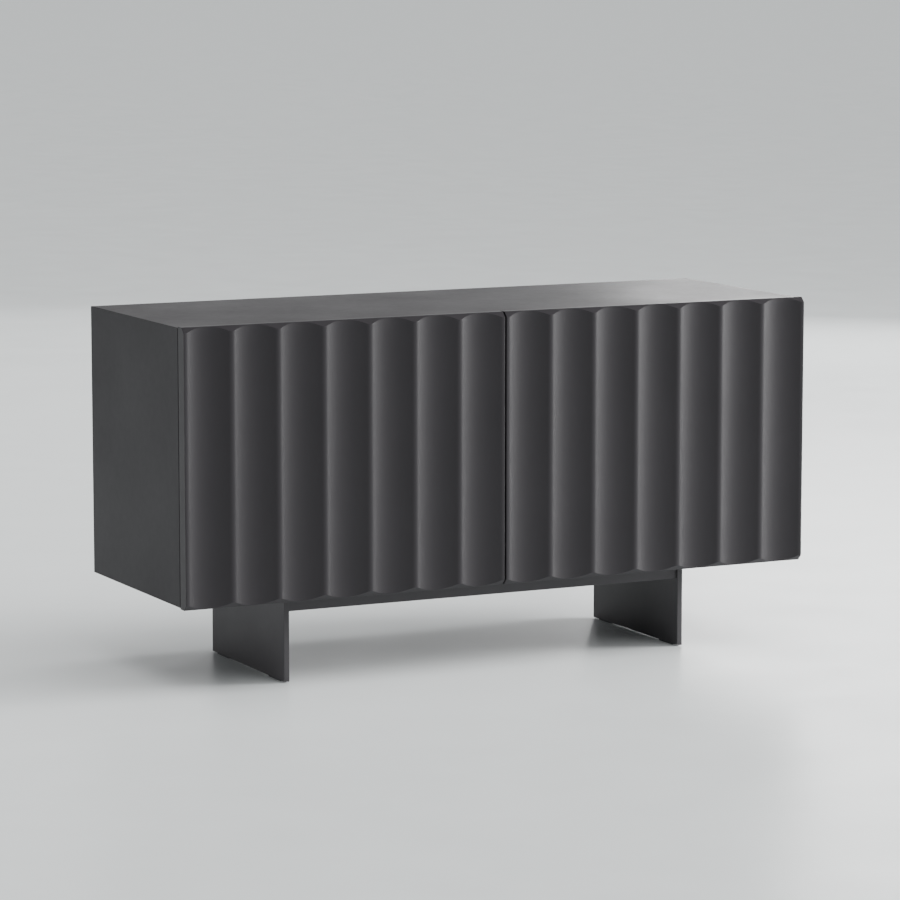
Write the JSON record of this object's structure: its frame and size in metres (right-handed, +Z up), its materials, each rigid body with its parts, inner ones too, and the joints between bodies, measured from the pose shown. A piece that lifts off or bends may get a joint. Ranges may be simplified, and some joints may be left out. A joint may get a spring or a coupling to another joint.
{
  "type": "sideboard buffet",
  "caption": "Low graphite sideboard with fluted overlay push-to-open doors, an adjustable shelf in each bay and a steel plate-leg base.",
  "frame": {"origin": "on the floor, under the middle of the whole sideboard", "axes": "+X to the right along the width, -Y out of the doors, +Z up"},
  "size_m": [1.2, 0.43, 0.63],
  "materials": {
    "case_lacquer": "satin graphite lacquer on fibreboard",
    "door_lacquer": "satin graphite lacquer on shaped fibreboard",
    "base_steel": "fine satin graphite powder coat",
    "nickel_hardware": "nickel plate",
    "dark_plastic": "fine matt moulding"
  },
  "bodies": {
    "root": {"back_panel": "case_lacquer", "bottom_panel": "case_lacquer", "centre_divider": "case_lacquer", "front_rail": "base_steel", "left_front_bolt": "nickel_hardware", "left_front_glide": "dark_plastic", "left_front_insert": "nickel_hardware", "left_latch_housing": "dark_plastic", "left_leg_flange": "base_steel", "left_leg_plate": "base_steel", "left_lower_hinge_arm": "nickel_hardware", "left_lower_hinge_plate": "nickel_hardware", "left_rear_bolt": "nickel_hardware", "left_rear_glide": "dark_plastic", "left_rear_insert": "nickel_hardware", "left_shelf": "case_lacquer", "left_shelf_pin_inner_front": "nickel_hardware", "left_shelf_pin_inner_rear": "nickel_hardware", "left_shelf_pin_outer_front": "nickel_hardware", "left_shelf_pin_outer_rear": "nickel_hardware", "left_side_panel": "case_lacquer", "left_upper_hinge_arm": "nickel_hardware", "left_upper_hinge_plate": "nickel_hardware", "rear_rail": "base_steel", "right_front_bolt": "nickel_hardware", "right_front_glide": "dark_plastic", "right_front_insert": "nickel_hardware", "right_latch_housing": "dark_plastic", "right_leg_flange": "base_steel", "right_leg_plate": "base_steel", "right_lower_hinge_arm": "nickel_hardware", "right_lower_hinge_plate": "nickel_hardware", "right_rear_bolt": "nickel_hardware", "right_rear_glide": "dark_plastic", "right_rear_insert": "nickel_hardware", "right_shelf": "case_lacquer", "right_shelf_pin_inner_front": "nickel_hardware", "right_shelf_pin_inner_rear": "nickel_hardware", "right_shelf_pin_outer_front": "nickel_hardware", "right_shelf_pin_outer_rear": "nickel_hardware", "right_side_panel": "case_lacquer", "right_upper_hinge_arm": "nickel_hardware", "right_upper_hinge_plate": "nickel_hardware", "top_panel": "case_lacquer"},
    "left_door": {"left_door": "door_lacquer", "left_latch_strike": "nickel_hardware", "left_lower_hinge_cup": "nickel_hardware", "left_lower_hinge_pin": "nickel_hardware", "left_upper_hinge_cup": "nickel_hardware", "left_upper_hinge_pin": "nickel_hardware"},
    "left_plunger": {"left_latch_plunger": "dark_plastic"},
    "right_door": {"right_door": "door_lacquer", "right_latch_strike": "nickel_hardware", "right_lower_hinge_cup": "nickel_hardware", "right_lower_hinge_pin": "nickel_hardware", "right_upper_hinge_cup": "nickel_hardware", "right_upper_hinge_pin": "nickel_hardware"},
    "right_plunger": {"right_latch_plunger": "dark_plastic"}
  },
  "joints": [
    {"name": "left_door_swing", "type": "hinge", "parent": "root", "child": "left_door", "pos_m": [-0.5933, -0.1992, 0.391], "axis": [0, 0, -1], "range_deg": [0, 90]},
    {"name": "right_door_swing", "type": "hinge", "parent": "root", "child": "right_door", "pos_m": [0.5933, -0.1992, 0.391], "axis": [0, 0, 1], "range_deg": [0, 90]},
    {"name": "left_plunger_slide", "type": "slide", "parent": "root", "child": "left_plunger", "axis": [0, -1, 0], "range_m": [0, 0.02]},
    {"name": "right_plunger_slide", "type": "slide", "parent": "root", "child": "right_plunger", "axis": [0, -1, 0], "range_m": [0, 0.02]}
  ],
  "couplings": [
    {"joint": "left_plunger_slide", "follows": "left_door_swing", "m_per_rad": 0.0127},
    {"joint": "right_plunger_slide", "follows": "right_door_swing", "m_per_rad": 0.0127}
  ]
}
